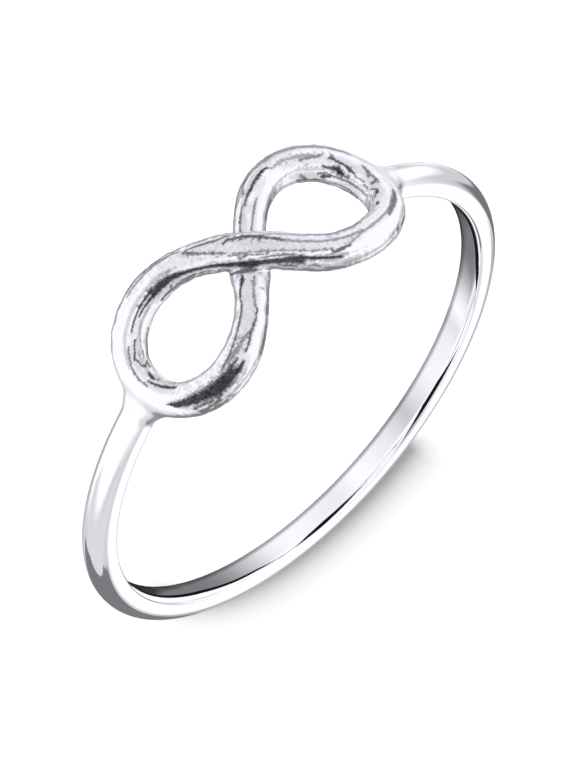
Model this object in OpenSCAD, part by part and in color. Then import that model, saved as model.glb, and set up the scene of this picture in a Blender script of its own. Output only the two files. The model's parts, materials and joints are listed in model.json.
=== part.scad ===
// Infinity ring, in millimetres.
// A slim band carries a figure of eight made of one wire that crosses over itself.
// The band, the two shoulders and the wire are cast and soldered into one solid.
// The ring lies on its side: X runs along the infinity, Y from the finger hole to it, Z is up.
// The origin is the centre of the finger hole.

/* [Band] */
// Inner diameter of the ring, across the finger hole
finger_d = 17; // [15:0.1:21]
// Width of the band along the finger
band_w = 1.05; // [0.9:0.05:1.3]
// Thickness of the band, from the finger to the top of its dome
band_t = 1; // [0.9:0.05:1.3]
// Width along the finger of the two rounded corners on the finger's side of the band
band_corner_w = 0.3; // [0.1:0.01:0.35]
// Height of these corners, from the finger outwards
band_corner_h = 0.1; // [0.05:0.01:0.2]

/* [Infinity] */
// Half the length of the infinity, along the finger's curve and to the centre of its wire
half_l = 5.45; // [4.9:0.05:6]
// Half the width of the infinity, to the centre of its wire
half_w = 2; // [1.7:0.05:2.3]
// Width of the wire
wire_w = 1.15; // [1:0.05:1.4]
// Height of the wire, from the finger outwards
wire_h = 1.2; // [1:0.05:1.4]
// Squareness of the wire's section, where 2 is an ellipse and more is squarer
wire_square = 2.4; // [2:0.1:3.5]
// Height by which the upper strand climbs over the lower one at the crossing
over_lift = 0.7; // [0.5:0.05:0.9]

/* [Shoulders] */
// Radius of the hollow curve between the band and a lobe
fillet_r = 1.2; // [0.4:0.1:1.6]

/* [Hidden] */
$fn = 144;

hole_r = finger_d / 2;
// Clearance that keeps faceted surfaces just outside the finger hole
skin = 0.02;
// Radius on which the centre of the wire runs
wire_r = hole_r + skin + wire_h / 2;

// Sections along one strand and points round each section
strand_steps = 48;
section_points = 16;
// Sections along one shoulder and steps round each of its corners
shoulder_steps = 12;
corner_steps = 3;

// The wire is bent by hand: each row is one swell or bend of a strand
// columns: place on the strand in degrees, reach in degrees, added share of the width,
// shift along the finger in millimetres
at = 0;
reach = 1;
wider = 2;
shifted = 3;
over_bends = [
    [25, 25, 0.08, 0],
    [35, 35, 0, -0.17],
    [90, 45, 0.04, -0.12],
    [118, 22, -0.1, 0],
    [124, 34, 0, -0.2],
];
under_bends = [
    [56, 56, 0, -0.3],
    [72, 20, -0.05, 0],
    [95, 25, 0, -0.12],
    [95, 14, 0.17, 0],
    [118, 22, -0.05, 0],
    [138, 32, 0, 0.1],
    [145, 30, 0.1, 0],
];
// Reach of the climb on each side of the crossing, in degrees of the strand
lift_reach = 52;

// The half-width of a lemniscate is this share of its half-length
natural_share = 1 / (2 * sqrt(2));

// A lobe's end is nearly round: radius of its outer outline and place of that circle's centre
end_r = pow(half_w / natural_share / half_l, 2) * half_l / 3 + wire_w / 2;
end_s = half_l + wire_w / 2 - end_r;
// Centre of the hollow curve between band and lobe
fillet_w = band_w / 2 + fillet_r;
fillet_s = end_s + sqrt(pow(end_r + fillet_r, 2) - pow(fillet_w, 2));
// Place where the hollow curve runs into the lobe's outline
touch_s = end_s + (fillet_s - end_s) * end_r / (end_r + fillet_r);
touch_w = fillet_w * end_r / (end_r + fillet_r);
// The shoulder starts on the band, runs straight for a short way and ends inside the wire
lead_in = 0.1;
shoulder_out = fillet_s + lead_in;
shoulder_in = half_l;
// Depth below the top of the wire at which the shoulder ends
shoulder_sunk = 0.1;

// The lobes reach lower than the band, so the resting ring leans by this angle
lobe_s = half_l * sqrt(3 / 8);
lobe_y = wire_r * cos(turn(lobe_s));
lobe_low = wire_w / 2 + max([
    for (t = [0:3:180])
        max(strand_w(t) - bend(under_bends, t, shifted), -strand_w(t) - bend(over_bends, t, shifted))
]);
rest_tilt = atan((lobe_low - band_w / 2) / (lobe_y + hole_r + band_t / 2));

// Angle round the finger that belongs to a length along the curve
function turn(s) = s / wire_r * 180 / PI;
// Point at a length s along the curve, w along the finger and radius r
function wrap(s, w, r) = [r * sin(turn(s)), r * cos(turn(s)), w];
// Smooth bump that is 1 in the middle and 0 past its reach
function bump(x) = abs(x) >= 1 ? 0 : pow(cos(90 * x), 2);
// Sum of a column's swells or bends at a place on the strand
function bend(table, t, column) =
    sum([for (row = table) row[column] * bump((t - row[at]) / row[reach])]);
function sum(v, i = 0) = i < len(v) ? v[i] + sum(v, i + 1) : 0;
function unit(v) = v / norm(v);

// Centre line of a strand: t runs from 0 at one lobe's end to 180 at the other's
function strand_s(t) = half_l * cos(t) / (1 + pow(sin(t), 2));
function strand_w(t) = half_w / natural_share * sin(t) * cos(t) / (1 + pow(sin(t), 2));
function centre(t, side, lift, table) =
    wrap(
        strand_s(t),
        side * strand_w(t) + bend(table, t, shifted),
        wire_r + lift * bump((t - 90) / lift_reach)
    );

// Rounded square of the wire's section, as x across the wire and y away from the finger
function round_power(c) = sign(c) * pow(abs(c), 2 / wire_square);
function wire_section(w, h) = [
    for (i = [0:section_points - 1])
        let (a = 360 * (i + 0.5) / section_points)
            [w / 2 * round_power(cos(a)), h / 2 * round_power(sin(a))]
];

function strand_ring(t, side, lift, table) =
    let (
        here = centre(t, side, lift, table),
        step = 0.5,
        ahead = unit(centre(t + step, side, lift, table) - centre(t - step, side, lift, table)),
        outward = unit([here.x, here.y, 0]),
        across = unit(cross(outward, ahead)),
        up = cross(ahead, across),
        w = wire_w * (1 + bend(table, t, wider))
    )
        [for (p = wire_section(w, wire_h)) here + across * p.x + up * p.y];

// Half-width and top radius of a shoulder at a length s along the curve
function shoulder_half(s) =
    s >= fillet_s ? band_w / 2 + skin
    : s >= touch_s ? fillet_w - sqrt(pow(fillet_r, 2) - pow(fillet_s - s, 2)) + skin
    : touch_w + (s - touch_s) * (touch_w - wire_w) / (touch_s - shoulder_in) + skin;
function shoulder_top(s) =
    let (share = (shoulder_out - s) / (shoulder_out - shoulder_in))
        hole_r + band_t + skin + (wire_h - shoulder_sunk - band_t) * (1 - cos(180 * share)) / 2;
// Point of the rounded corner on one edge: k runs from 0 on the wall to 1 at the finger
function corner_point(s, edge, half, low, k) =
    wrap(
        s,
        edge * (half - band_corner_w * (1 - cos(90 * k))),
        low + band_corner_h * (1 - sin(90 * k))
    );
function shoulder_ring(s, side) =
    let (
        half = shoulder_half(s),
        low = hole_r + skin,
        high = shoulder_top(s),
        dome = min(band_w / 2, half),
        side_high = high - dome
    )
        [
            for (i = [0:section_points - 1])
                let (
                    a = 180 * i / (section_points - 1),
                    flat = (half - dome) * (1 - 2 * i / (section_points - 1))
                )
                    wrap(side * s, flat + dome * cos(a), side_high + dome * sin(a)),
            for (k = [0:1 / corner_steps:1]) corner_point(side * s, -1, half, low, k),
            for (k = [1:-1 / corner_steps:0]) corner_point(side * s, 1, half, low, k),
        ];

// Closed solid through a list of rings that have the same number of points
module sweep(rings, flip = false) {
    n = len(rings[0]);
    last = len(rings) - 1;
    sides = [
        for (i = [0:last - 1], j = [0:n - 1], half = [0, 1])
            let (
                a = i * n + j,
                b = i * n + (j + 1) % n,
                c = a + n,
                d = b + n
            )
                half == 0 ? [a, c, d] : [a, d, b]
    ];
    first_cap = [for (j = [0:n - 1]) j];
    last_cap = [for (j = [n - 1:-1:0]) last * n + j];
    faces = concat(sides, [first_cap, last_cap]);
    turned = [for (f = faces) [for (k = [len(f) - 1:-1:0]) f[k]]];
    polyhedron(points = [for (r = rings) each r], faces = flip ? turned : faces, convexity = 6);
}

module band_profile() {
    side_h = band_t - band_w / 2;
    flat_w = band_w - 2 * band_corner_w;
    translate([hole_r + side_h, 0])
        circle(r = band_w / 2);
    translate([hole_r + band_corner_h, -band_w / 2])
        square([side_h - band_corner_h, band_w]);
    translate([hole_r, -flat_w / 2])
        square([side_h, flat_w]);
    for (side = [-1, 1])
        translate([hole_r + band_corner_h, side * flat_w / 2])
            scale([band_corner_h, band_corner_w])
                circle(r = 1);
}

// The band runs the long way round, from inside one shoulder to inside the other
module band() {
    open_angle = turn((touch_s + half_l) / 2);
    rotate_extrude(angle = 360 - 2 * open_angle, start = 90 + open_angle)
        band_profile();
}

module strand(side, lift, table) {
    rings = [for (i = [0:strand_steps]) strand_ring(180 * i / strand_steps, side, lift, table)];
    sweep(rings);
}

module shoulder(side) {
    rings = [
        for (i = [0:shoulder_steps])
            shoulder_ring(shoulder_out + (shoulder_in - shoulder_out) * i / shoulder_steps, side)
    ];
    sweep(rings, side < 0);
}

module infinity() {
    strand(1, over_lift, over_bends);
    strand(-1, 0, under_bends);
}

module ring() {
    color("silver")
        rotate([rest_tilt, 0, 0]) {
            band();
            infinity();
            shoulder(-1);
            shoulder(1);
        }
}

ring();
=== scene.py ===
# %% [markdown]
# # An infinity ring in silver
# This lesson dresses a small finger ring. The real one is cast silver: a slim, highly
# polished band that opens into a figure of eight of one wire. The wire crosses over itself
# and was worked by hand, so it carries flats, grooves, pits and dark tarnish, while the band
# is smooth. The imported model brings the radius of the finger hole and the lean, the other
# sizes are given here, and everything is fitted to them.

# %% Load the imported ring
import json
import math
import random

import bmesh
import bpy
import mathutils.kdtree
import numpy as np
from mathutils import Matrix, Vector


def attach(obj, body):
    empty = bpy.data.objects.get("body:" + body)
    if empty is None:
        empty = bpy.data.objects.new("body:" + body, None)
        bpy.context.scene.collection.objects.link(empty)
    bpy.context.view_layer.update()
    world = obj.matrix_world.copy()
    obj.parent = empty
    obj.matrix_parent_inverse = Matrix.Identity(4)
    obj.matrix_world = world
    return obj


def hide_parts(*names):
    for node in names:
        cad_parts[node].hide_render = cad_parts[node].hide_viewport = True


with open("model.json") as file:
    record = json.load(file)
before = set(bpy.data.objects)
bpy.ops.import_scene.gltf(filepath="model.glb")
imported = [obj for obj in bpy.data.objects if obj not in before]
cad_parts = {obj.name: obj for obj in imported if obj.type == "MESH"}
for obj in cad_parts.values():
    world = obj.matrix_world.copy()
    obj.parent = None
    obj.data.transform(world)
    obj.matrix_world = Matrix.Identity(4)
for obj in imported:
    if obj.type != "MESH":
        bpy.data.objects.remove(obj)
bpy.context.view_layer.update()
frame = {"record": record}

# %% [markdown]
# ## Two frames
# The ring rests on its side. The lobes of the infinity reach a little lower than the band,
# so the resting ring leans by a few degrees. It is easier to model it upright, with the
# finger's axis along Z, and to lean the finished mesh at the end. The lean and the radius of
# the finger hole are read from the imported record, so that they can't drift apart. Modelling
# is done in millimetres, because voxels of a few hundredths of a millimetre are too small
# for metres.

# %% Sizes in millimetres
MM = 0.001
hole = frame["record"]["mounts"][0]
HOLE_R = hole["dims"]["r_mm"]
LEAN = math.atan2(-hole["axis"][1], hole["axis"][2])
BAND_W, BAND_T, CORNER_W, CORNER_H = 1.05, 1.0, 0.3, 0.1
HALF_L, HALF_W = 5.45, 2.0
WIRE_W, WIRE_H, WIRE_SQUARE = 1.15, 1.2, 2.4
OVER_LIFT, LIFT_REACH, FILLET_R = 0.7, 52, 1.2
SKIN = 0.02
WIRE_R = HOLE_R + SKIN + WIRE_H / 2
print("finger hole radius", HOLE_R, "mm, lean", round(math.degrees(LEAN), 2), "degrees")

# %% [markdown]
# ## The line of the wire
# An infinity is a lemniscate, wrapped round the finger. It is made here as two strands from
# one lobe's end to the other's. The upper strand climbs over the lower one at the crossing.
# The wire was bent by hand, so each strand swells, thins and drifts a little along its way.

# %% Two strands
def bump(x):
    """1 in the middle, 0 past a reach of 1, and smooth between."""
    return np.where(np.abs(x) >= 1, 0.0, np.cos(np.pi / 2 * x) ** 2)


# swells: place in degrees, reach in degrees, added share of the width
# drifts: place in degrees, reach in degrees, shift along the finger in millimetres
STRANDS = {
    "over": {
        "side": 1,
        "lift": OVER_LIFT,
        "swells": [(25, 25, 0.08), (90, 45, 0.04), (118, 22, -0.1)],
        "drifts": [(35, 35, -0.17), (90, 45, -0.12), (124, 34, -0.2)],
    },
    "under": {
        "side": -1,
        "lift": 0,
        "swells": [(72, 20, -0.05), (95, 14, 0.17), (118, 22, -0.05), (145, 30, 0.1)],
        "drifts": [(56, 56, -0.3), (95, 25, -0.12), (138, 32, 0.1)],
    },
}


def total(rows, t):
    return sum(share * bump((t - place) / reach) for place, reach, share in rows)


def wrap(s, w, r):
    """Point at length s round the finger, w along it and radius r."""
    turn = s / WIRE_R
    return np.stack([r * np.sin(turn), r * np.cos(turn), w + 0 * turn], -1)


def centre(strand, t):
    a = np.radians(t)
    bow = 1 + np.sin(a) ** 2
    s = HALF_L * np.cos(a) / bow
    w = strand["side"] * HALF_W * 2 * math.sqrt(2) * np.sin(a) * np.cos(a) / bow
    lift = strand["lift"] * bump((t - 90) / LIFT_REACH)
    return wrap(s, w + total(strand["drifts"], t), WIRE_R + lift)


def unit(v):
    return v / np.linalg.norm(v, axis=-1, keepdims=True)


def axes(strand, t):
    """Centre of the wire with its directions: ahead, across it, and up from the finger."""
    here = centre(strand, t)
    ahead = unit(centre(strand, t + 0.5) - centre(strand, t - 0.5))
    outward = unit(here * [1, 1, 0])
    across = unit(np.cross(outward, ahead))
    return here, ahead, across, np.cross(ahead, across)


STEPS = 240
stations = np.linspace(0, 180, STEPS + 1)
for name, strand in STRANDS.items():
    strand["axes"] = axes(strand, stations)
    here = strand["axes"][0]
    steps = np.linalg.norm(np.diff(here, axis=0), axis=1)
    strand["length"] = np.concatenate([[0], np.cumsum(steps)])
    print(name, "strand is", round(strand["length"][-1], 2), "mm long")

# %% [markdown]
# ## Hammered flats
# Looked at closely, the wire isn't round: a file or hammer left long flats on its top and
# flanks, and the light breaks along their edges. A flat is cut into the wire's section before
# it is swept: whatever stands further out than the flat's plane is pushed back onto it. Each
# flat follows a path along the strand and fades at its ends.

# %% Flats along the strands
# each flat: depth as a share of the radius, then its path as (place, angle round the wire);
# 90 degrees is the top of the wire
FLATS = {
    "over": [
        (0.05, [(40, 74), (62, 76), (90, 80), (116, 88)]),
        (0.02, [(50, 46), (72, 50), (92, 40), (116, 56)]),
        (0.06, [(48, 24), (68, 26), (88, 8), (104, 18), (130, 46), (160, 46)]),
        (0.03, [(118, 78), (140, 74), (172, 72)]),
        (0.05, [(0, 128), (14, 126), (28, 116)]),
        (0.04, [(20, 60), (34, 56), (52, 74)]),
        (0.03, [(60, 128), (92, 134), (120, 126)]),
        (0.03, [(130, 4), (150, 10), (176, 14)]),
        (0.04, [(10, 190), (60, 200), (120, 205), (170, 195)]),
    ],
    "under": [
        (0.05, [(36, 90), (56, 88), (80, 94)]),
        (0.05, [(99, 90), (112, 88), (128, 82), (140, 78)]),
        (0.09, [(136, 64), (148, 64), (158, 66), (174, 58)]),
        (0.05, [(0, 44), (12, 34), (26, 40)]),
        (0.04, [(30, 128), (50, 134), (70, 134)]),
        (0.03, [(30, 46), (60, 44), (84, 50)]),
        (0.03, [(100, 38), (118, 30), (140, 18)]),
        (0.04, [(162, 122), (180, 124)]),
        (0.04, [(10, 220), (60, 210), (120, 205), (170, 215)]),
    ],
}
FLAT_FADE = 6


def section(t, strand, flats, corners):
    """Points of the wire's section as (across, up), with its flats cut."""
    a = 2 * np.pi * (np.arange(corners) + 0.5) / corners
    half = np.array([WIRE_W * (1 + total(strand["swells"], t)) / 2, WIRE_H / 2])

    def outline(angle):
        c = np.stack([np.cos(angle), np.sin(angle)], -1)
        return half * np.sign(c) * np.abs(c) ** (2 / WIRE_SQUARE)

    points = outline(a)
    for depth, path in flats:
        places, angles = zip(*path)
        if places[0] < t < places[-1] or t in (0, 180):
            fade = min((t - places[0]) / FLAT_FADE, (places[-1] - t) / FLAT_FADE, 1)
            if places[0] == 0 and t < FLAT_FADE or places[-1] == 180 and t > 180 - FLAT_FADE:
                fade = 1
            top = outline(np.radians(np.interp(t, places, angles)))
            reach = np.linalg.norm(top)
            out = points @ (top / reach) - reach * (1 - depth * max(fade, 0))
            points = points - np.outer(np.maximum(out, 0), top / reach)
    return points


CORNERS = 64
for name, strand in STRANDS.items():
    here, ahead, across, up = strand["axes"]
    strand["rings"] = []
    for i, t in enumerate(stations):
        p = section(t, strand, FLATS[name], CORNERS)
        strand["rings"].append(here[i] + p[:, :1] * across[i] + p[:, 1:] * up[i])
print("flats cut:", sum(len(f) for f in FLATS.values()))

# %% [markdown]
# ## Sweeping a form
# Each strand starts as one filled circle. Its rim is extruded once per station, and the new
# rim is moved onto that station's section. The last rim is filled too, so the form is closed.

# %% Sweep
def sweep(bm, rings):
    rim = bmesh.ops.create_circle(bm, cap_ends=True, radius=1, segments=len(rings[0]))
    verts = rim["verts"]
    for v, p in zip(verts, rings[0]):
        v.co = p
    edges = [bm.edges.get((verts[i - 1], verts[i])) for i in range(len(verts))]
    for ring in rings[1:]:
        made = bmesh.ops.extrude_edge_only(bm, edges=edges)["geom"]
        new = {v for v in made if isinstance(v, bmesh.types.BMVert)}
        verts = [next(e.other_vert(v) for e in v.link_edges if e.other_vert(v) in new)
                 for v in verts]
        for v, p in zip(verts, ring):
            v.co = p
        edges = [bm.edges.get((verts[i - 1], verts[i])) for i in range(len(verts))]
    bmesh.ops.edgeloop_fill(bm, edges=edges)


body = bmesh.new()
for strand in STRANDS.values():
    sweep(body, strand["rings"])
print("two strands:", len(body.verts), "points")

# %% [markdown]
# ## Shoulders
# Between band and lobe the metal widens in a hollow curve and rises from the band's dome to
# the top of the wire. A shoulder is swept as well, from sections that start as the band's own
# D-shaped outline. A short piece of band goes along, so that there is something to cut.

# %% Shoulders and the band's outline
end_r = (HALF_W * 2 * math.sqrt(2) / HALF_L) ** 2 * HALF_L / 3 + WIRE_W / 2
end_s = HALF_L + WIRE_W / 2 - end_r
fillet_w = BAND_W / 2 + FILLET_R
fillet_s = end_s + math.sqrt((end_r + FILLET_R) ** 2 - fillet_w**2)
touch_s = end_s + (fillet_s - end_s) * end_r / (end_r + FILLET_R)
touch_w = fillet_w * end_r / (end_r + FILLET_R)
SHOULDER_OUT = fillet_s + 0.1
SUNK = 0.1


def arc(middle, radii, start, stop, count):
    a = np.radians(np.linspace(start, stop, count))
    return np.stack([np.cos(a), np.sin(a)], -1) * radii + middle


def outline(half, low, high, points=32):
    """D-shaped outline as (along the finger, radius), counter-clockwise from the right."""
    dome = min(BAND_W / 2, half)
    top = arc((0, high - dome), (dome, dome), 0, 180, points)
    top[:, 0] += (half - dome) * np.linspace(1, -1, points)
    corner = (CORNER_W, CORNER_H)
    left = arc((CORNER_W - half, low + CORNER_H), corner, 180, 270, 9)
    right = arc((half - CORNER_W, low + CORNER_H), corner, 270, 360, 9)
    wall = np.linspace(0, 1, 8)[1:-1, None]
    left_wall = top[-1] + (left[0] - top[-1]) * wall
    right_wall = right[-1] + (top[0] - right[-1]) * wall
    base = left[-1] + (right[0] - left[-1]) * np.linspace(0, 1, 10)[1:-1, None]
    return np.concatenate([top, left_wall, left, base, right, right_wall])


def shoulder_half(s):
    if s >= fillet_s:
        return BAND_W / 2
    if s >= touch_s:
        return fillet_w - math.sqrt(FILLET_R**2 - (fillet_s - s) ** 2)
    return touch_w + (s - touch_s) * (touch_w - WIRE_W) / (touch_s - HALF_L)


def shoulder_top(s):
    share = min(max((SHOULDER_OUT - s) / (SHOULDER_OUT - HALF_L), 0), 1)
    rise = WIRE_H - SUNK - BAND_T + SKIN
    return HOLE_R + BAND_T + rise * (1 - math.cos(math.pi * share)) / 2


STUB = 0.5
CUT_S = SHOULDER_OUT + 0.1
for side in (-1, 1):
    rings = []
    for s in np.linspace(SHOULDER_OUT + STUB, HALF_L, 40):
        share = min(max((SHOULDER_OUT - s) / (SHOULDER_OUT - HALF_L), 0), 1)
        o = outline(shoulder_half(s), HOLE_R + SKIN * share, shoulder_top(s))
        rings.append(wrap(side * s, o[:, 0], o[:, 1]))
    sweep(body, rings)
bmesh.ops.recalc_face_normals(body, faces=body.faces)
print("shoulders start", round(SHOULDER_OUT, 2), "mm from the middle of the infinity")

# %% [markdown]
# ## Melting the pieces together
# The real ring is one casting, so nothing may pass through anything else. A voxel remesh
# takes the outer skin of all four overlapping forms and gives one even mesh. Smoothing then
# rounds its corners a little, and more of it where wire lies on wire and where the shoulders
# meet the lobes, which makes the small fillets that molten metal has there.

# %% One skin
VOXEL = 0.047


def object_of(bm, name):
    mesh = bpy.data.meshes.new(name)
    bm.to_mesh(mesh)
    bm.free()
    obj = bpy.data.objects.new(name, mesh)
    bpy.context.scene.collection.objects.link(obj)
    return obj


raw = object_of(body, "raw_infinity")
melt = raw.modifiers.new("melt", "REMESH")
melt.mode = "VOXEL"
melt.voxel_size = VOXEL
skin = bpy.data.meshes.new_from_object(
    raw.evaluated_get(bpy.context.evaluated_depsgraph_get())
)
bpy.data.objects.remove(raw)
infinity = bmesh.new()
infinity.from_mesh(skin)
bpy.data.meshes.remove(skin)
# the first layer holds the darkness of all marks: tarnish, and also painted reflections and a
# painted shadow
TARNISH_AND_PAINTED_SHADE = infinity.verts.layers.float.new("tarnish")
WORKED = infinity.verts.layers.float.new("worked")
MATTED = infinity.verts.layers.float.new("matt")
BRUSHED = infinity.verts.layers.float.new("brushed")
print("melted skin:", len(infinity.faces), "faces")

# %% [markdown]
# ## Where on the wire is a point?
# To smooth, groove and darken the wire by hand, every point of the skin needs an address:
# which strand it is on, how far along, and at what angle round the wire. The nearest station
# of each strand gives it.

# %% Addresses on the wire
def positions(bm):
    return np.array([v.co for v in bm.verts])


def addresses(points):
    """For each strand: distance from its centre line, length along it and angle round it."""
    found = {}
    for name, strand in STRANDS.items():
        here, ahead, across, up = strand["axes"]
        near = np.concatenate([
            np.argmin(((part[:, None] - here[None]) ** 2).sum(-1), axis=1)
            for part in np.array_split(points, len(points) // 2000 + 1)
        ])
        gap = points - here[near]
        along = (gap * ahead[near]).sum(-1)
        x = (gap * across[near]).sum(-1)
        y = (gap * up[near]).sum(-1)
        t = stations[near]
        bent_x = np.sign(x) * np.abs(2 * x / WIRE_W) ** (WIRE_SQUARE / 2)
        bent_y = np.sign(y) * np.abs(2 * y / WIRE_H) ** (WIRE_SQUARE / 2)
        angle = (np.degrees(np.arctan2(bent_y, bent_x)) + 90) % 360 - 90
        found[name] = (np.hypot(x, y), strand["length"][near] + along, angle, t)
    return found


def length_round(points):
    """Length round the finger from the middle of the infinity to each point."""
    return np.abs(np.arctan2(points[:, 0], points[:, 1])) * WIRE_R


# the strands touch within so many degrees of the crossing and so near to both centre lines
CROSSING_REACH, TOUCHING = 30, WIRE_W / 2 + 0.22
place = positions(infinity)
where = addresses(place)
further = np.maximum(where["over"][0], where["under"][0])
contact = (np.abs(where["over"][3] - 90) < CROSSING_REACH) & (further < TOUCHING)
round_finger = length_round(place)
shoulder = round_finger > HALF_L - 0.1
print("points near the crossing:", contact.sum(), "and on the shoulders:", shoulder.sum())

# %% Smooth the skin
verts = list(infinity.verts)


def smooth(chosen, times):
    for _ in range(times):
        bmesh.ops.smooth_vert(
            infinity, verts=chosen, factor=0.5, use_axis_x=True, use_axis_y=True, use_axis_z=True
        )


# rounds of smoothing: everywhere, where wire lies on wire, and on the shoulders
EVERYWHERE, ON_CONTACT, ON_SHOULDERS = 5, 14, 30
smooth(verts, EVERYWHERE)
smooth([v for v, near in zip(verts, contact) if near], ON_CONTACT)
smooth([v for v, near in zip(verts, shoulder) if near], ON_SHOULDERS)
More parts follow.
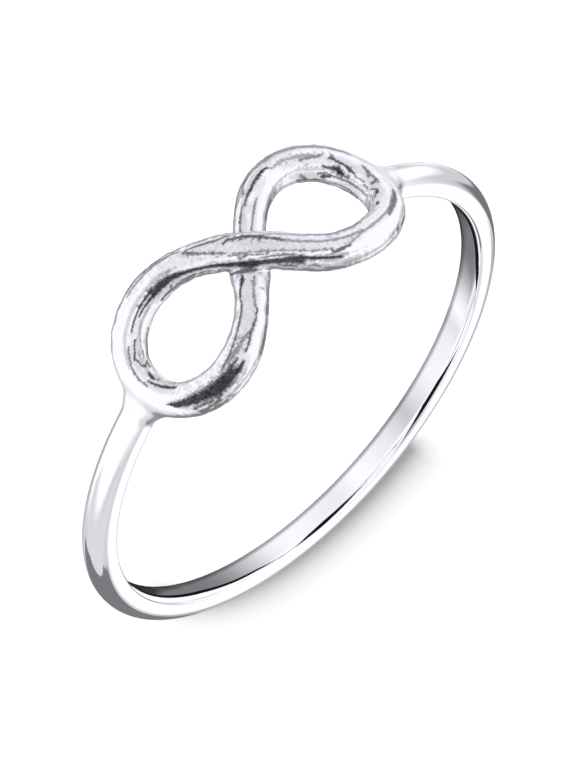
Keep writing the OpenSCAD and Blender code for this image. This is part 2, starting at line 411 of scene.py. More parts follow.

# %% [markdown]
# ## Grooves, pits, tarnish and painted shade
# Fine dark lines follow the edges of the flats, tarnish fills the deeper ones, and a few
# broad stretches of flank are nearly black. Each mark is a row with a path on the wire:
# place along the strand in degrees, angle round the wire and half-width, both in degrees of
# the wire. A mark darkens the silver, and it is sunk into the metal by a depth in
# millimetres. Its edge is broken up with noise, as tarnish never ends in a clean line. The
# rows without a depth are painted: soft grey bands that are painted reflections of something
# dark on the bent wire, and one painted shadow where the upper strand lies on the lower one.

# %% The marks on the wire
# each mark: darkness, depth in millimetres, raggedness, path of (place, angle, half-width)
# rows with a depth of 0 are painted reflections of something dark, and one row of the under
# strand is a painted shadow
MARKS = {
    "over": [
        (0.95, 0.012, 0.3, [(52, 27, 6), (60, 31, 6), (67, 35, 8)]),
        (0.95, 0.02, 0.3, [(68, 26, 18), (72, 26, 15), (76, 18, 10), (80, 15, 9), (84, 9, 9),
                           (88, 5, 11), (94, 8, 9), (100, 13, 8), (105, 16, 7), (110, 20, 6),
                           (115, 25, 8), (120, 32, 10), (125, 41, 13), (129, 46, 16),
                           (134, 48, 16), (139, 46, 10)]),
        (0.95, 0.012, 0.4, [(138, 60, 6), (145, 61, 4), (152, 59, 3), (158, 57, 3)]),
        (0.95, 0.012, 0.4, [(138, 42, 8), (143, 43, 6), (147, 45, 4), (151, 47, 2)]),
        (0.6, 0.008, 0.6, [(38, 90, 2.5), (50, 91, 3), (57, 91, 3)]),
        (0.6, 0.008, 0.6, [(58, 91, 2.5), (70, 92, 3), (78, 94, 4)]),
        (0.85, 0.01, 0.9, [(76, 94, 4), (82, 100, 5), (88, 107, 8), (92, 106, 7), (96, 103, 5),
                           (99, 93, 3)]),
        # painted reflection, no depth
        (0.78, 0.0, 0.4, [(10, 81, 5), (16, 82, 8), (21, 83, 7), (24, 79, 5)]),
        (0.6, 0.008, 0.4, [(12, 85, 3), (25, 89, 3), (33, 88, 3), (38, 86, 3)]),
        (0.6, 0.008, 0.9, [(38, 86, 3), (43, 78, 3.5), (46, 68, 4), (48, 61, 4)]),
        (0.85, 0.012, 0.9, [(47, 60, 5), (51, 56, 5), (55, 51, 6)]),
        (0.6, 0.008, 0.9, [(55, 63, 3), (62, 62, 3), (70, 62, 3), (77, 60, 3), (81, 55, 3.5),
                           (88, 54, 3.5), (95, 55, 4)]),
        (0.75, 0.008, 0.9, [(98, 60, 4), (102, 66, 4), (106, 74, 3.5), (110, 83, 4),
                            (116, 95, 4)]),
        (0.85, 0.01, 0.4, [(97, 122, 5), (99, 115, 5), (103, 105, 4), (108, 103, 3.5),
                           (115, 103, 3)]),
        (0.75, 0.01, 0.9, [(70, 47, 4), (74, 45, 4), (79, 39, 4), (84, 32, 3)]),
        (0.7, 0.01, 0.9, [(90, 42, 4), (92, 37, 6), (93, 30, 4)]),
        (0.7, 0.01, 0.7, [(69, 1, 3), (72, 3, 3.5), (76, 4, 3)]),
        (0.55, 0.01, 0.9, [(60, 0, 4), (62, 7, 4), (64, 3, 3)]),
        (0.75, 0.01, 0.7, [(129, 20, 5), (130, 10, 5), (131, 2, 4)]),
        (0.85, 0.012, 0.5, [(131, 1, 4), (135, 3, 3.5), (139, 1, 4)]),
        (0.35, 0.005, 0.6, [(145, 30, 3), (155, 27, 3), (162, 18, 3), (168, 10, 3)]),
        (0.9, 0.012, 0.5, [(161, 40, 3.5), (166, 43, 4), (169, 49, 4), (170, 54, 3)]),
        (0.75, 0.01, 0.6, [(164, 64, 4), (168, 66, 4), (172, 71, 3.5), (180, 72, 3)]),
        (0.8, 0.01, 0.5, [(170, 43, 4), (173, 36, 4), (174, 22, 4), (172, 8, 3)]),
        (0.75, 0.01, 0.5, [(171, 3, 4), (175, 6, 4)]),
        (0.9, 0.015, 0.5, [(178, 26, 5), (180, 32, 8)]),
        (0.9, 0.03, 0.5, [(8, 134, 6), (10, 137, 7)]),
        (0.9, 0.03, 0.5, [(17, 136, 5), (19, 133, 6)]),
        (0.85, 0.015, 0.5, [(3.5, 110, 5), (4, 122, 5), (3.5, 136, 5)]),
        (0.75, 0.01, 0.6, [(0, 112, 3.5), (5, 112, 3.5)]),
        (0.75, 0.012, 0.6, [(6, 150, 4), (7, 142, 4), (8, 136, 4)]),
        (0.7, 0.01, 0.6, [(0, 157, 3.5), (4, 157, 3.5)]),
        (0.6, 0.01, 0.6, [(0, 178, 3.5), (5, 178, 3.5), (7, 172, 3)]),
        (0.55, 0.01, 0.7, [(10, 152, 4), (13, 144, 4)]),
        # the six rows from here on are painted reflections, no depth
        (0.8, 0.0, 0.2, [(2, 42, 7), (3, 54, 9), (4, 68, 9), (6, 82, 6)]),
        (0.35, 0.0, 0.2, [(14, 54, 4), (20, 44, 4), (26, 22, 4), (33, 6, 4), (50, 0, 4)]),
        (0.75, 0.0, 0.5, [(118, 108, 3), (124, 113, 5), (130, 116, 6), (136, 116, 5),
                         (146, 114, 3)]),
        (0.5, 0.0, 0.3, [(120, 136, 12), (134, 136, 14), (150, 138, 12)]),
        (0.45, 0.0, 0.4, [(36, 128, 12), (48, 128, 12), (58, 122, 6), (70, 119, 4),
                          (83, 115, 4)]),
        (0.32, 0.0, 0.3, [(124, 70, 5), (130, 78, 5), (150, 78, 5), (172, 77, 4)]),
    ],
    "under": [
        (0.95, 0.015, 0.5, [(44, 92, 3), (47, 95, 5), (52, 96, 4), (58, 98, 4), (62, 102, 4),
                            (66, 104, 3)]),
        (0.85, 0.01, 0.5, [(66, 112, 3), (70, 113, 3), (74, 115, 4), (78, 112, 3),
                           (80, 110, 3)]),
        (0.75, 0.01, 0.5, [(62, 75, 2.5), (70, 78, 3), (76, 79, 3), (80, 80, 3)]),
        (0.7, 0.01, 0.6, [(52, 146, 5), (55, 138, 5), (58, 127, 5), (61, 119, 4)]),
        (0.65, 0.01, 0.8, [(43, 124, 6), (45, 128, 8)]),
        (0.7, 0.008, 0.9, [(20, 72, 4), (22, 65, 5), (26, 61, 4), (30, 59, 4)]),
        # painted reflection, no depth
        (0.55, 0.0, 0.9, [(24, 70, 5), (30, 75, 6), (36, 79, 6), (43, 82, 5)]),
        (0.9, 0.015, 0.9, [(6, 36, 4), (8, 42, 5), (10, 47, 4), (14, 56, 5), (17, 64, 5)]),
        (0.7, 0.01, 0.9, [(15, 60, 4), (16, 70, 5), (17, 78, 3)]),
        (0.95, 0.04, 0.4, [(10, 16, 6), (12, 20, 10), (13, 26, 12), (15, 26, 8)]),
        (0.9, 0.02, 0.5, [(15, 25, 5), (19, 27, 6)]),
        (0.7, 0.015, 0.6, [(7, 14, 4), (10, 12, 4)]),
        (0.7, 0.01, 0.6, [(0, 28, 4), (5, 28, 3)]),
        (0.7, 0.01, 0.6, [(0, 1, 3), (8, 1, 2.5), (14, 2, 3), (18, 6, 4), (21, 2, 3)]),
        (0.9, 0.015, 0.6, [(15, -1, 4), (18, -4, 6), (19, -6, 4)]),
        (0.5, 0.01, 0.6, [(0, -30, 4), (8, -25, 5), (15, -23, 6), (21, -18, 4)]),
        (0.6, 0.01, 0.7, [(26, -16, 5), (28, -6, 5), (30, 4, 4)]),
        (0.75, 0.01, 0.7, [(0, 60, 7), (2, 70, 7), (5, 78, 4)]),
        # painted shadow of the upper strand where it lies on this one, no depth
        (0.85, 0.0, 0.2, [(97.5, 172, 5), (98.5, 150, 7), (99.5, 125, 7), (100, 100, 7),
                          (100, 75, 7), (99.5, 50, 4)]),
        (0.95, 0.012, 0.6, [(102, 104, 5), (105, 108, 6), (108, 115, 5), (112, 114, 4)]),
        (0.85, 0.01, 0.6, [(113, 110, 3), (116, 106, 4), (120, 104, 4), (128, 104, 3),
                           (134, 101, 3), (140, 96, 3), (144, 93, 3)]),
        (0.65, 0.01, 0.9, [(103, 71, 3), (107, 74, 4), (111, 74, 3), (115, 68, 3),
                           (117, 61, 3)]),
        (0.85, 0.01, 0.8, [(117, 58, 4), (121, 57, 4), (124, 61, 5), (127, 65, 4),
                           (130, 59, 3.5), (134, 59, 3)]),
        # painted reflection, no depth
        (0.6, 0.0, 1.0, [(126, 68, 4), (130, 81, 7), (135, 87, 7), (141, 91, 5)]),
        (0.95, 0.02, 0.3, [(138, 49, 6), (141, 46, 8), (144, 60, 24), (150, 63, 26),
                           (155, 69, 21), (160, 73, 16), (165, 72, 12), (169, 70, 7)]),
        (0.85, 0.015, 0.5, [(138, 72, 4), (142, 77, 7)]),
        # painted reflection, no depth
        (0.6, 0.0, 0.3, [(167, 74, 4), (171, 70, 4), (173, 60, 3)]),
        (0.8, 0.01, 0.6, [(150, 42, 4), (151, 33, 5), (153, 22, 6)]),
        (0.75, 0.01, 0.9, [(152, 19, 6), (156, 20, 7), (163, 20, 5)]),
        (0.75, 0.01, 0.7, [(154, 38, 6), (157, 43, 6), (160, 40, 5)]),
        (0.85, 0.01, 0.5, [(166, 46, 4), (168, 38, 5), (170, 26, 5), (172, 6, 5)]),
        (0.95, 0.015, 0.5, [(166, 130, 5), (170, 134, 7), (174, 132, 6), (179, 127, 4)]),
        (0.9, 0.02, 0.5, [(178, 149, 6), (180, 151, 8)]),
        (0.6, 0.01, 0.6, [(176, 152, 4), (177, 162, 5)]),
        (0.7, 0.01, 0.6, [(178, 110, 4), (180, 112, 4)]),
        # the last three rows are painted reflections, no depth
        (0.55, 0.0, 0.3, [(3, 134, 7), (5, 114, 6), (11, 99, 5), (20, 104, 5), (30, 110, 6),
                          (42, 115, 6)]),
        (0.45, 0.0, 0.3, [(38, 130, 10), (50, 138, 10), (60, 142, 14), (68, 150, 10)]),
        (0.32, 0.0, 0.3, [(103, 28, 4), (108, 11, 4), (115, 3, 4), (126, 1, 4), (150, 14, 4)]),
    ],
}
# millimetres in a degree round the wire, whose outline is about 3.4 times as long as it is wide
ROUND = WIRE_W * 3.4 / 360
print("marks on the seen side:", {name: len(rows) for name, rows in MARKS.items()})

# %% [markdown]
# The facets on top of the wire are matt from the file, while the round flanks between them
# are as bright as the band. The matt areas are drawn with rows of the same kind.

# %% Matt areas
MATT = {
    "over": [
        (1.0, 0, 0.15, [(42, 78, 12), (66, 82, 22), (90, 78, 30), (112, 78, 26), (134, 78, 12)]),
        (0.8, 0, 0.15, [(120, 44, 14), (146, 40, 18), (180, 36, 18)]),
        (0.8, 0, 0.15, [(0, 134, 14), (15, 134, 16), (34, 128, 8)]),
        (0.7, 0, 0.25, [(12, 84, 7), (45, 84, 7)]),
        (0.8, 0, 0.25, [(48, 2, 14), (75, 0, 14), (100, 0, 12)]),
    ],
    "under": [
        (0.9, 0, 0.15, [(0, 64, 16), (20, 54, 18), (38, 58, 12)]),
        (0.8, 0, 0.25, [(14, 100, 7), (48, 106, 10), (84, 108, 10)]),
        (0.8, 0, 0.15, [(52, 72, 8), (84, 72, 10)]),
        (1.0, 0, 0.15, [(98, 84, 28), (120, 80, 26), (142, 76, 20)]),
        (0.9, 0, 0.15, [(138, 50, 22), (152, 54, 26), (174, 60, 12)]),
    ],
}
print("matt areas:", sum(len(rows) for rows in MATT.values()))

# %% [markdown]
# The photograph shows only the top and the near flank of the wire. Its back and underside
# were worked by the same hand, so a few more marks are drawn there at random, from a fixed
# seed so that every run gives the same ring.

# %% Marks on the far side
FAR_MARKS = 14
dice = random.Random(8)
for name in MARKS:
    for _ in range(FAR_MARKS):
        t, a = dice.uniform(8, 160), dice.uniform(175, 255)
        reach, slope = dice.uniform(4, 14), dice.uniform(-0.8, 0.8)
        path = [(t + reach * k / 3, a + slope * reach * k / 3 + dice.uniform(-2, 2),
                 dice.uniform(1.5, 4)) for k in range(4)]
        MARKS[name].append((dice.uniform(0.3, 0.7), 0.01, 0.7, path))
print("marks with those on the far side:", sum(len(rows) for rows in MARKS.values()))

# %% [markdown]
# A mark is drawn by distance: each point of the skin finds how far it is from the mark's path,
# measured along the wire and round it, and is darkened where that is less than the path's
# half-width. Random waves push the limit in and out, which makes the edge ragged.

# %% Draw the marks on the skin
def ragged(points, size, seed, count=28):
    """Smooth noise round 0.5, made of a few dozen random waves of about size millimetres."""
    rng = np.random.default_rng(seed)
    waves = rng.normal(size=(3, count)) * (2 * np.pi / size) * rng.uniform(0.5, 1.4, count)
    turn = rng.uniform(0, 2 * np.pi, count)
    return 0.5 + 0.5 * np.sin(points @ waves + turn).sum(-1) / math.sqrt(count / 2)


place = positions(infinity)
where = addresses(place)
over_near = where["over"][0] < where["under"][0]
rag = np.clip(ragged(place, 0.16, 1), 0, 1)
fine_rag = np.clip(ragged(place, 0.08, 2), 0, 1)


def drawn(marks_of):
    """Darkness and depth at every point, from rows of marks on both strands."""
    dark, deep = np.zeros(len(place)), np.zeros(len(place))
    for name, marks in marks_of.items():
        strand = STRANDS[name]
        mine = np.flatnonzero(over_near if name == "over" else ~over_near)
        along, angle = where[name][1][mine], where[name][2][mine]
        for darkness, depth, raggedness, path in marks:
            best = np.full(len(mine), 1e9)
            for (t0, a0, h0), (t1, a1, h1) in zip(path, path[1:]):
                s0, s1 = np.interp([t0, t1], stations, strand["length"])
                step = np.array([s1 - s0, (a1 - a0) * ROUND])
                px, py = along - s0, (angle - a0) * ROUND
                share = np.clip((px * step[0] + py * step[1]) / (step @ step), 0, 1)
                gap = np.hypot(px - share * step[0], py - share * step[1])
                best = np.minimum(best, gap / ((h0 + (h1 - h0) * share) * ROUND))
            best = best * (1 + raggedness * (0.9 * rag[mine] + 0.6 * fine_rag[mine] - 0.75))
            inside = np.clip(1.6 - best, 0, 1)
            inside = inside * inside * (3 - 2 * inside)
            dark[mine] = np.maximum(dark[mine], darkness * inside)
            deep[mine] = np.maximum(deep[mine], depth * inside)
    return dark, deep


# darkness of every mark: tarnish, and painted reflections and a painted shadow from the rows
# without a depth
tarnish, sunk = drawn(MARKS)
matt, _ = drawn(MATT)
print("tarnished points:", (tarnish > 0.3).sum(), "matt:", (matt > 0.3).sum(), "of", len(place))

# %% [markdown]
# The marks are pressed into the skin along its normals, and a very soft unevenness of a few
# microns is added, because a hand-worked wire is never quite even. Smoothing has made the
# shoulders a little thinner, and the same step gives that back.

# %% Press the marks in
# waves of the unevenness: height and length in millimetres, and a seed
UNEVEN = [(0.014, 0.7, 3), (0.004, 0.22, 4)]
# thickness that smoothing took from each side of the shoulders
SHRUNK = 0.016
wire_zone = np.clip((HALF_L + 0.1 - round_finger) / 0.5, 0, 1)
uneven = sum((ragged(place, size, seed) - 0.5) * height for height, size, seed in UNEVEN)
shrunk = SHRUNK * np.clip((round_finger - HALF_L) / 0.4, 0, 1)
infinity.normal_update()
normals = np.array([v.normal for v in verts])
moved = place + normals * ((uneven * wire_zone + shrunk - sunk)[:, None])
for v, p in zip(verts, moved):
    v.co = p
smooth(verts, 1)
print("deepest mark:", round(float(sunk.max()), 3), "mm")

# %% [markdown]
# ## Joining the band
# The band is polished, so voxels are too rough for it. The melted skin is cut off square on
# both shoulders, its cut edge is laid exactly on the band's outline, and the rest of the band
# is spun round the finger from that outline, then bridged to the cut edges. The result is
# one closed skin.

# %% Lay the shoulders' ends on the band's outline
# length over which the melted skin is blended into the band's outline
LAID_OVER = 0.6
profile = outline(BAND_W / 2, HOLE_R, HOLE_R + BAND_T, 400)
profile = np.concatenate([profile, profile[:1]])
starts, steps = profile[:-1], np.diff(profile, axis=0)


def on_profile(points):
    """Nearest point of the band's surface, for points given as (along the finger, radius)."""
    rel = points[:, None] - starts[None]
    share = np.clip((rel * steps).sum(-1) / (steps**2).sum(-1), 0, 1)
    foot = starts + share[..., None] * steps
    best = ((points[:, None] - foot) ** 2).sum(-1).argmin(1)
    return foot[np.arange(len(points)), best]


def lay_on_band(points, weight):
    turn = np.arctan2(points[:, 0], points[:, 1])
    flat = np.stack([points[:, 2], np.hypot(points[:, 0], points[:, 1])], -1)
    foot = on_profile(flat)
    flat = flat + (foot - flat) * weight[:, None]
    return np.stack([flat[:, 1] * np.sin(turn), flat[:, 1] * np.cos(turn), flat[:, 0]], -1)


place = positions(infinity)
round_finger = length_round(place)
near = np.flatnonzero(round_finger > fillet_s - LAID_OVER)
weight = np.clip((round_finger[near] - fillet_s + LAID_OVER) / LAID_OVER, 0, 1)
laid = lay_on_band(place[near], weight * weight * (3 - 2 * weight))
for i, p in zip(near, laid):
    verts[i].co = p
print("points laid on the band's outline:", len(near))

# %% [markdown]
# What the drawn marks say is stored in the mesh first, point by point, because the cut adds
# and removes points. The shoulders are brushed, and that fades out on both of their ends.

# %% Store the finishes
brushed = np.clip((round_finger - HALF_L + 0.5) / 0.7, 0, 1) * np.clip(
    (fillet_s + 0.1 - round_finger) / 0.6, 0, 1
)
# the first layer carries tarnish together with the painted reflections and the painted shadow
FINISHES = (
    (TARNISH_AND_PAINTED_SHADE, tarnish), (WORKED, wire_zone), (MATTED, matt * wire_zone), (BRUSHED, brushed),
)
for layer, values in FINISHES:
    for v, value in zip(verts, values):
        v[layer] = value
print("finishes stored:", len(FINISHES))

# %% Cut the ends square
CUT = CUT_S / WIRE_R
for side in (-1, 1):
    bmesh.ops.bisect_plane(
        infinity,
        geom=infinity.verts[:] + infinity.edges[:] + infinity.faces[:],
        dist=1e-6,
        plane_co=(0, 0, 0),
        plane_no=(side * math.cos(CUT), -math.sin(CUT), 0),
        clear_outer=True,
    )
rims = [e for e in infinity.edges if e.is_boundary]
print("cut edges:", len(rims))
ends = {side: [e for e in rims if e.verts[0].co.x * side > 0] for side in (-1, 1)}
for side in (-1, 1):
    loop = list({v for e in ends[side] for v in e.verts})
    for v, p in zip(loop, lay_on_band(np.array([v.co for v in loop]), np.ones(len(loop)))):
        v.co = p

# %% Spin the band and bridge it to the cut ends
# the spun part stops short of the cut edges, which leaves a narrow gap to bridge
GAP = math.radians(0.6)
BAND_STEPS = 260
shape = outline(BAND_W / 2, HOLE_R, HOLE_R + BAND_T, 28)
band = bmesh.new()
rim = bmesh.ops.create_circle(band, cap_ends=False, radius=1, segments=len(shape))["verts"]
first = wrap((CUT + GAP) * WIRE_R, shape[:, 0], shape[:, 1])
for v, p in zip(rim, first):
    v.co = p
bmesh.ops.spin(
    band,
    geom=rim + band.edges[:],
    cent=(0, 0, 0),
    axis=(0, 0, -1),
    angle=2 * math.pi - 2 * (CUT + GAP),
    steps=BAND_STEPS,
)
band_mesh = bpy.data.meshes.new("band")
band.to_mesh(band_mesh)
band.free()
infinity.from_mesh(band_mesh)
bpy.data.meshes.remove(band_mesh)
for side in (-1, 1):
    loops = [e for e in infinity.edges if e.is_boundary and e.verts[0].co.x * side > 0]
    bmesh.ops.bridge_loops(infinity, edges=loops)
bmesh.ops.remove_doubles(infinity, verts=infinity.verts, dist=1e-4)
bmesh.ops.recalc_face_normals(infinity, faces=infinity.faces)
open_edges = sum(not e.is_manifold for e in infinity.edges)
print("faces:", len(infinity.faces), "open edges:", open_edges)

# %% [markdown]
# The finished skin is scaled to metres and leant onto its side, both in the mesh itself, so
# that the object stays at the origin, unturned and unscaled. It then stands for the plain
# solid and takes its place in the model.

# %% The ring as one piece
for face in infinity.faces:
    face.smooth = True
bmesh.ops.transform(infinity, matrix=Matrix.Scale(MM, 4), verts=infinity.verts)
bmesh.ops.rotate(
    infinity, cent=(0, 0, 0), matrix=Matrix.Rotation(LEAN, 3, "X"), verts=infinity.verts
)
bmesh.ops.triangulate(infinity, faces=infinity.faces)
ring = object_of(infinity, "silver_ring")
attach(ring, "root")
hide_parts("ring")
print("ring:", len(ring.data.polygons), "triangles")

# %% [markdown]
# ## A small language for shaders
# Node maths reads better as formulas. The class wraps a socket, and adding, subtracting or
# multiplying two of them adds the Math node that does it.

# %% Sockets that calculate
class Value:
    def __init__(self, nodes, socket):
        self.nodes, self.socket = nodes, socket

    def math(self, operation, *others, swap=False):
        node = self.nodes.make("ShaderNodeMath", {"operation": operation})
        inputs = [self, *others][::-1] if swap else [self, *others]
        for slot, value in zip(node.inputs, inputs):
            self.nodes.put(slot, value)
        return Value(self.nodes, node.outputs[0])

    def __add__(self, other):
        return self.math("ADD", other)

    def __sub__(self, other):
        return self.math("SUBTRACT", other)

    def __mul__(self, other):
        return self.math("MULTIPLY", other)

    def __rsub__(self, other):
        return self.math("SUBTRACT", other, swap=True)

    __radd__, __rmul__ = __add__, __mul__

    def clamp(self, low, high):
        return self.math("MAXIMUM", low).math("MINIMUM", high)

    def ramp(self, start, stop):
        """0 at start and 1 at stop, held outside."""
        return ((self - start) * (1 / (stop - start))).clamp(0, 1)


class Nodes:
    def __init__(self, material):
        material.use_nodes = True
        self.tree = material.node_tree
        self.tree.nodes.clear()

    def put(self, slot, value):
        if isinstance(value, Value):
            self.tree.links.new(value.socket, slot)
        elif isinstance(value, bpy.types.NodeSocket):
            self.tree.links.new(value, slot)
        else:
            slot.default_value = value

    def make(self, kind, settings=None, **inputs):
        node = self.tree.nodes.new(kind)
        for name, value in (settings or {}).items():
            setattr(node, name, value)
        for name, value in inputs.items():
            self.put(node.inputs[name.replace("_", " ")], value)
        return node

    def attribute(self, name):
        node = self.make("ShaderNodeAttribute", {"attribute_name": name})
        return Value(self, node.outputs["Fac"])

    def noise(self, size, detail=2.0):
        """Noise whose grains are about size metres wide."""
        where = self.make("ShaderNodeTexCoord").outputs["Object"]
        node = self.make("ShaderNodeTexNoise", Vector=where, Scale=1 / size, Detail=detail)
        return Value(self, node.outputs["Fac"])

    def blend(self, share, first, second):
        node = self.make("ShaderNodeMix", {"data_type": "RGBA"})
        for slot, value in ((0, share), (6, first), (7, second)):
            self.put(node.inputs[slot], value)
        return node.outputs[2]


# %% [markdown]
# ## Polished and worked silver
# Silver is a metal with a nearly white reflection. The band is polished to a mirror, and the
# shoulders are brushed. The wire keeps a fine satin grain from the file, so its roughness is
# higher and a small bump breaks up the light, most of all on the matt facets, which are a
# little greyer too. Tarnish is dark and dull and sits in the marks, and the marks without a
# depth use the same dark colour as painted reflections of dark things and one painted shadow.

# %% Silver
BRIGHT, FILED_GREY = (0.94, 0.94, 0.945, 1), (0.55, 0.55, 0.565, 1)
# the dark colour of tarnish, also used for the painted reflections and the painted shadow
TARNISH_AND_PAINTED_SHADE_BLACK = (0.03, 0.031, 0.035, 1)
# roughness of the polished band, and what each finish adds to it
POLISHED, SATIN, FILED, BRUSH, DULL = 0.05, 0.08, 0.12, 0.25, 0.15
silver = bpy.data.materials.new("silver")
n = Nodes(silver)
worked = n.attribute("worked")
dark = n.attribute("tarnish")
grain = n.noise(0.00007, 3.0)
cloud = n.noise(0.0004, 2.0)
# the mark darkness here is tarnish and also painted shade: painted reflections of dark things and
# one painted shadow
stain_and_painted_shade = (dark + (grain - 0.5) * 0.35 * dark.ramp(0.02, 0.3)).clamp(0, 1)
filed = n.attribute("matt")
brushed = n.attribute("brushed")
satin = worked * (SATIN + SATIN * cloud) + FILED * filed + BRUSH * brushed
greyed = (filed * (0.36 + 1.2 * (grain - 0.5)) + 0.12 * worked).clamp(0, 1)
plain = n.blend(greyed, BRIGHT, FILED_GREY)
colour = n.blend(stain_and_painted_shade, plain, TARNISH_AND_PAINTED_SHADE_BLACK)
height = grain * (0.25 * worked + 0.75 * filed)
relief = n.make("ShaderNodeBump", Strength=0.35, Distance=0.00001, Height=height)
shader = n.make(
    "ShaderNodeBsdfPrincipled",
    Base_Color=colour,
    Metallic=1.0,
    Roughness=POLISHED + satin + stain_and_painted_shade * DULL,
    Normal=relief.outputs["Normal"],
)
n.make("ShaderNodeOutputMaterial", Surface=shader.outputs["BSDF"])
ring.data.materials.append(silver)
print("silver is made of", len(n.tree.nodes), "nodes")

# %% [markdown]
# ## Studio
# The ring lies on a white table, and everything bright round it is one large white tent. A
# mirror shows nothing but its surroundings, so the greys of the band are grey cards in the
# tent. The tent and the cards are seen by reflections only. A few broad, faint cards, the
# veils, keep the ring from dissolving into white when it is seen from another side.

# %% Table
FLOOR = 4.0
PAPER_TONE = 0.85
floor_z = min(v.co.z for v in ring.data.vertices)
table = bmesh.new()
bmesh.ops.create_grid(table, x_segments=1, y_segments=1, size=FLOOR / 2)
bmesh.ops.translate(table, vec=(0, 0, floor_z), verts=table.verts)
table = object_of(table, "table")
paper = bpy.data.materials.new("paper")
n = Nodes(paper)
white = n.make("ShaderNodeBsdfDiffuse", Color=(PAPER_TONE, PAPER_TONE, PAPER_TONE, 1))
n.make("ShaderNodeOutputMaterial", Surface=white.outputs["BSDF"])
table.data.materials.append(paper)
table.visible_glossy = False
print("table at", round(floor_z / MM, 2), "mm")

# %% Glowing things that only reflections see
lean = Matrix.Rotation(LEAN, 3, "X")


def cool(tone):
    """A grey with a slight blue cast."""
    return (tone, tone * 1.01, tone * 1.07, 1)


def glow(name, tone, soft=0.0, shape="box"):
    """A material that shines with a cool grey and fades over its card's rim."""
    material = bpy.data.materials.new(name)
    n = Nodes(material)
    light = n.make("ShaderNodeEmission", Color=cool(tone), Strength=1.0).outputs[0]
    if soft:
        where = n.make("ShaderNodeTexCoord").outputs["Object"]
        parts = n.make("ShaderNodeSeparateXYZ", Vector=where)
        x, y = (Value(n, parts.outputs[i]) for i in (0, 1))
        if shape == "round":
            shown = (x * x + y * y).math("SQRT").ramp(1, 1 - soft)
        elif shape == "edge":
            shown = x.ramp(-1, soft - 1)
        else:
            shown = x.math("ABSOLUTE").ramp(1, 1 - soft) * y.math("ABSOLUTE").ramp(1, 1 - soft)
        clear = n.make("ShaderNodeBsdfTransparent").outputs[0]
        mixed = n.make("ShaderNodeMixShader")
        for slot, value in enumerate((shown, clear, light)):
            n.put(mixed.inputs[slot], value)
        light = mixed.outputs[0]
    n.make("ShaderNodeOutputMaterial", Surface=light)
    return material


def seen_only_by(obj, *kinds):
    for kind in ("camera", "diffuse", "glossy", "transmission", "volume_scatter", "shadow"):
        setattr(obj, "visible_" + kind, kind in kinds)


# %% Tent and cards
tent = bmesh.new()
bmesh.ops.create_icosphere(tent, subdivisions=5, radius=2)
tent = object_of(tent, "tent")
TENT_TONE = 1.08
tent.data.materials.append(glow("tent_white", TENT_TONE))
seen_only_by(tent, "glossy")

# each card: azimuth from the infinity's side, elevation, width and height as seen angles, roll,
# tone, share of its rim that fades, shape; a card hangs in front of those above it
CARDS = {
    "veil": (204, 10, 90, 120, 0, 0.68, 0.4, "box"),
    "left_veil": (130, 5, 42, 78, 0, 0.64, 0.5, "box"),
    "low_veil": (168, -58, 80, 56, 0, 0.42, 0.5, "round"),
    "low_front": (22, -48, 84, 62, 0, 0.84, 0.5, "round"),
    "low_right": (104, -38, 44, 44, 0, 0.6, 0.6, "round"),
    "front_veil": (12, 4, 60, 60, 0, 0.86, 0.7, "round"),
    "above": (350, 84, 44, 30, 0, 0.45, 0.6, "round"),
    "behind": (167, -10, 34, 62, 0, 0.49, 0.12, "box"),
    "front_white": (160, 31, 26, 26, 0, 1.05, 0.3, "box"),
    "edge_grey": (165, -32, 34, 22, 0, 0.17, 0.4, "round"),
    "grey_right": (201, 0, 52, 62, 8, 0.205, 0.05, "box"),
    "cover": (235, 11, 36, 100, -29, 0.74, 0.7, "edge"),
    "grey_left": (143, -3, 22, 54, -14, 0.19, 0.35, "box"),
    "dark_window": (317, 30, 36, 52, 0, 0.17, 0.4, "round"),
}


def card(name, far, azimuth, elevation, wide, high, roll, tone, soft, shape):
    """A flat card that faces the ring from a distance in metres."""
    bm = bmesh.new()
    bmesh.ops.create_grid(bm, x_segments=1, y_segments=1, size=1)
    obj = object_of(bm, name)
    a, e = math.radians(azimuth), math.radians(elevation)
    away = Vector((math.sin(a) * math.cos(e), math.cos(a) * math.cos(e), math.sin(e)))
    turn = away.to_track_quat("Z", "Y").to_matrix() @ Matrix.Rotation(math.radians(roll), 3, "Z")
    size = [far * math.tan(math.radians(angle / 2)) for angle in (wide, high)]
    placed = Matrix.Translation(away * far) @ turn.to_4x4() @ Matrix.Diagonal((*size, 1, 1))
    obj.matrix_world = lean.to_4x4() @ placed
    obj.data.materials.append(glow(name, tone, soft, shape))
    seen_only_by(obj, "glossy")


FARTHEST, NEARER = 0.6, 0.03
for i, (name, row) in enumerate(CARDS.items()):
    card(name, FARTHEST - NEARER * i, *row)
print("cards:", len(CARDS))

# %% [markdown]
# ## A glowing card inside the hoop
# The band's inner wall is a hollow mirror, and it shows only what lies close in front of it on
# the table. So a card lies there that glows with greys, and only reflections see it. The camera
# sees each place of the wall under one angle, and a mirror sends that line of sight on to one
# line on the card. The tones are chosen along the wall and laid as glow on those lines: the
# tree finds, for each spot of the card, the nearest point of such a line.

# %% Glow tones for the hoop card
CAMERA_AT = Vector((-49.83, 178.148, 87.389))
sight = math.degrees(math.atan2(CAMERA_AT.x, CAMERA_AT.y))
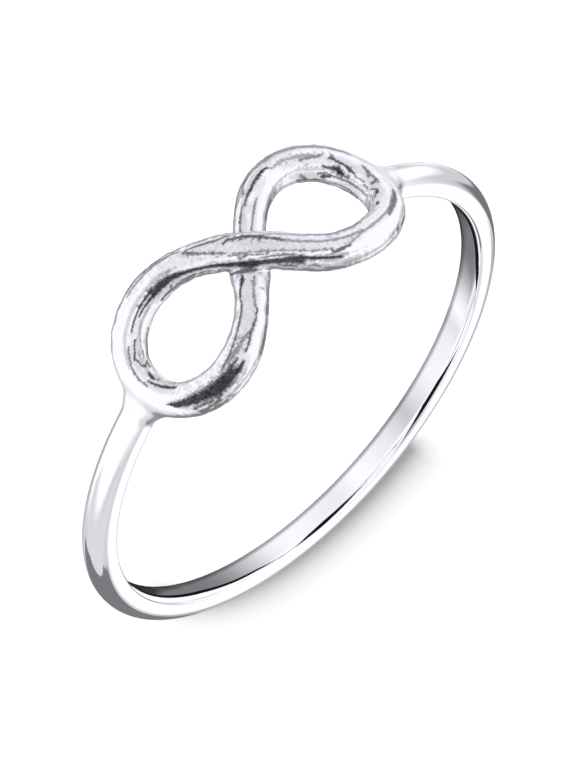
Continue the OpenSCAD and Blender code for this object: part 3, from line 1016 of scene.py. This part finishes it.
# tone of the wall by place, in degrees from the infinity's middle
WALL_TONES = [
    (66, 0.05), (81, 0.055), (83, 0.2), (97, 0.205), (103, 0.27), (109, 0.48), (115, 0.88),
    (119, 1.05), (122, 0.9), (124, 0.8), (128, 0.93), (139, 0.98), (145, 0.82), (150, 0.6),
    (157, 0.85), (169, 1.05), (176, 0.88), (192, 1.02), (198, 0.93), (205, 0.62), (211, 0.37),
    (217, 0.24), (223, 0.205), (238, 0.2), (240, 0.06), (254, 0.05),
]
FIRST_PLACE, LAST_PLACE, PLACE_STEP = 62, 256, 0.5
# length of a line of glow from the wall inwards, and the step along it, in millimetres
WALK, WALK_STEP = 2.3, 0.06
MOST_SPOTS = 100000
lines = mathutils.kdtree.KDTree(MOST_SPOTS)
glowing = []
for place_deg in np.arange(FIRST_PLACE, LAST_PLACE, PLACE_STEP):
    wall = Vector((math.sin(math.radians(place_deg)), math.cos(math.radians(place_deg)))) * HOLE_R
    heading = math.radians(2 * place_deg - sight)
    for walk in np.arange(0, WALK, WALK_STEP):
        spot = wall + Vector((math.sin(heading), math.cos(heading))) * walk
        lines.insert(spot.to_3d(), len(glowing))
        glowing.append(np.interp(place_deg, *zip(*WALL_TONES)))
lines.balance()
print("lines on the card hold", len(glowing), "spots")


def hoop_strip(radii):
    """A flat strip inside the hoop, spun from a radial line of points."""
    bm = bmesh.new()
    start = math.radians(FIRST_PLACE)
    row = [bm.verts.new((r * math.sin(start), r * math.cos(start), 0)) for r in radii]
    edges = [bm.edges.new(pair) for pair in zip(row, row[1:])]
    bmesh.ops.spin(
        bm,
        geom=row + edges,
        cent=(0, 0, 0),
        axis=(0, 0, -1),
        angle=math.radians(LAST_PLACE - FIRST_PLACE),
        steps=LAST_PLACE - FIRST_PLACE,
    )
    return bm


def lay_in_hoop(bm, name, material):
    bmesh.ops.transform(bm, matrix=(lean * MM).to_4x4(), verts=bm.verts)
    obj = object_of(bm, name)
    obj.data.materials.append(material)
    seen_only_by(obj, "glossy")


# %% Lay the hoop card
# the card's glow darkens to this share at the foot of the wall, a painted shade there, over the
# stated distances from it
WALL_FOOT, FOOT_DISTANCES = 0.4, (0.3, 0.03)
CARD_LIFT = 0.004
hoop_card = hoop_strip(np.linspace(HOLE_R + 0.08, HOLE_R - 2.6, 56))
# the card's greys are its glow, light seen only in reflections, not ink
GLOW_TONE = hoop_card.verts.layers.float_color.new("print")
for v in hoop_card.verts:
    near = lines.find_n(v.co, 6)
    tone = sum(glowing[i] for _, i, _ in near) / len(near)
    # painted shade: the card's glow is dimmed near the foot of the wall
    tone *= np.interp(v.co.length, [HOLE_R - d for d in FOOT_DISTANCES], (1, WALL_FOOT))
    v[GLOW_TONE] = cool(tone)
    v.co.z = CARD_LIFT - BAND_W / 2
# the card's material only glows, with the greys stored at its points
hoop_glow = bpy.data.materials.new("hoop_card_ink")
n = Nodes(hoop_glow)
glow_colour = n.make("ShaderNodeAttribute", {"attribute_name": "print"}).outputs["Color"]
shine = n.make("ShaderNodeEmission", Color=glow_colour)
n.make("ShaderNodeOutputMaterial", Surface=shine.outputs[0])
print("hoop card:", len(hoop_card.verts), "printed spots")
lay_in_hoop(hoop_card, "hoop_card", hoop_glow)

# %% [markdown]
# The inner wall also shows a fine black line just below its rounded front edge, and white
# above it. Photographers hold a black and a white tape close to the metal for that. Each tape
# is a narrow ledge along the wall: the wall above its height shows it. Where the black tape's
# free edge stands up, the rounded front edge shows it too, as a black crescent.

# %% Tapes along the wall
# place, height of the black tape, height of the white tape, width of the black one, and how
# much its free edge stands higher, in millimetres
TAPES = [
    (62, 0.1, 0.42, 0.05, 0), (76, 0.1, 0.4, 0.06, 0), (82, 0.21, 0.4, 0.12, 0),
    (94, 0.24, 0.41, 0.2, 0), (101, 0.26, 0.4, 0.35, 0), (107, 0.34, 0.47, 0.5, 0),
    (112, 0.46, 0.5, 0.3, 0), (116, 0.51, 0.51, 0.02, 0), (127, 0.5, 0.51, 0.02, 0),
    (133, 0.42, 0.51, 0.1, 0.15), (139, 0.34, 0.51, 0.25, 0.4), (146, 0.33, 0.51, 0.25, 0.4),
    (153, 0.43, 0.51, 0.1, 0.15), (158, 0.51, 0.51, 0.02, 0), (166, 0.5, 0.51, 0.02, 0),
    (172, 0.38, 0.51, 0.1, 0.04), (177, 0.34, 0.51, 0.25, 0.15), (183, 0.31, 0.51, 0.3, 0.2),
    (188, 0.33, 0.51, 0.2, 0.12), (193, 0.4, 0.51, 0.05, 0), (198, 0.35, 0.38, 0.12, 0),
    (205, 0.26, 0.33, 0.3, 0), (211, 0.23, 0.32, 0.3, 0), (217, 0.17, 0.28, 0.26, 0),
    (223, 0.1, 0.24, 0.22, 0), (235, 0.08, 0.23, 0.16, 0), (244, 0.08, 0.23, 0.1, 0),
    (256, 0.05, 0.25, 0.06, 0),
]
TAPE_PLACES, BLACK_HEIGHTS, WHITE_HEIGHTS, BLACK_WIDTHS, BLACK_RISES = zip(*TAPES)
# how many times wider the white tape is, its gap to the wall, and a first width to spin
WHITE_WIDER, TAPE_GAP, SPUN_WIDTH = 4, 0.004, 0.1


def tape(name, heights, widths, rises, tone):
    bm = hoop_strip((HOLE_R, HOLE_R - SPUN_WIDTH))
    for v in bm.verts:
        turn = math.degrees(math.atan2(v.co.x, v.co.y)) % 360
        height, width, rise = (
            np.interp(turn, TAPE_PLACES, row) for row in (heights, widths, rises)
        )
        free_edge = v.co.length < HOLE_R - SPUN_WIDTH / 2
        v.co *= (HOLE_R - (width if free_edge else TAPE_GAP)) / v.co.length
        v.co.z = height + (rise if free_edge else 0)
    lay_in_hoop(bm, name, glow(name, tone))


white_widths = [WHITE_WIDER * width for width in BLACK_WIDTHS]
BLACK_TONE, WHITE_TONE = 0.008, 1.05
tape("black_tape", BLACK_HEIGHTS, BLACK_WIDTHS, BLACK_RISES, BLACK_TONE)
tape("white_tape", WHITE_HEIGHTS, white_widths, [0] * len(TAPES), WHITE_TONE)
print("tapes shaped at", len(TAPES), "places")

# %% [markdown]
# ## Light and shadow
# The world's even light and one soft key light from the infinity's side leave the table
# white. Only the far part of the band throws a shadow, as in the photograph, so the key light
# is linked to a copy of that part, which nothing else sees. The light stands low, because the
# band hides the table right behind it, and only a long shadow comes out from there.

# %% Even light
WORLD_LIGHT = 0.43
world = bpy.data.worlds.new("studio")
bpy.context.scene.world = world
world.use_nodes = True
background = world.node_tree.nodes["Background"]
background.inputs["Color"].default_value = (1, 1, 1, 1)
background.inputs["Strength"].default_value = WORLD_LIGHT

# %% The part of the band that throws the shadow
SHADE_FROM, SHADE_TO, SHADE_STEPS = 157, 246, 80
# share of the band's outline, so that the copy stays inside the metal
SHADE_INSET = 0.9
shade = bmesh.new()
rim = bmesh.ops.create_circle(shade, cap_ends=False, radius=1, segments=len(shape))["verts"]
inset = (shape - (0, HOLE_R + BAND_T / 2)) * SHADE_INSET + (0, HOLE_R + BAND_T / 2)
for v, p in zip(rim, wrap(math.radians(SHADE_FROM) * WIRE_R, inset[:, 0], inset[:, 1])):
    v.co = p
bmesh.ops.spin(
    shade,
    geom=rim + shade.edges[:],
    cent=(0, 0, 0),
    axis=(0, 0, -1),
    angle=math.radians(SHADE_TO - SHADE_FROM),
    steps=SHADE_STEPS,
)
bmesh.ops.transform(shade, matrix=(lean * MM).to_4x4(), verts=shade.verts)
shade = object_of(shade, "shade")
seen_only_by(shade, "shadow")

# %% Key light
KEY_ENERGY, KEY_SOFTNESS = 9.6, math.radians(20)
KEY_AZIMUTH, KEY_HEIGHT = math.radians(-27), math.radians(16.5)
key = bpy.data.lights.new("key", "SUN")
key.energy = KEY_ENERGY
key.angle = KEY_SOFTNESS
key_light = bpy.data.objects.new("key", key)
bpy.context.scene.collection.objects.link(key_light)
towards = Vector((
    math.sin(KEY_AZIMUTH) * math.cos(KEY_HEIGHT),
    math.cos(KEY_AZIMUTH) * math.cos(KEY_HEIGHT),
    math.sin(KEY_HEIGHT),
))
key_light.matrix_world = towards.to_track_quat("Z", "Y").to_matrix().to_4x4()
key_light.visible_glossy = False
casters = bpy.data.collections.new("shadow_casters")
casters.objects.link(shade)
key_light.light_linking.blocker_collection = casters
print("the shadow comes from", SHADE_TO - SHADE_FROM, "degrees of the band")

# %% [markdown]
# ## Camera
# The camera's place was solved from the edges of the band in the photograph: it looks down
# on the ring from the infinity's side through a long lens. Its place and directions are
# given in the upright frame and leant with the ring.

# %% Camera
CAMERA_RIGHT = Vector((0.71183, -0.13939, 0.68838))
CAMERA_UP = Vector((0.65854, 0.47321, -0.58515))
view = bpy.data.cameras.new("camera")
view.lens = 281.25
view.sensor_width = 36
view.clip_start, view.clip_end = 0.01, 20
camera = bpy.data.objects.new("camera", view)
bpy.context.scene.collection.objects.link(camera)
turned = Matrix((CAMERA_RIGHT, CAMERA_UP, CAMERA_RIGHT.cross(CAMERA_UP))).transposed()
camera.matrix_world = Matrix.Translation(lean @ CAMERA_AT * MM) @ (lean @ turned).to_4x4()
bpy.context.scene.camera = camera
bpy.context.scene.view_settings.view_transform = "Standard"
bpy.context.scene.view_settings.look = "None"
print("camera", round(CAMERA_AT.length), "mm away")
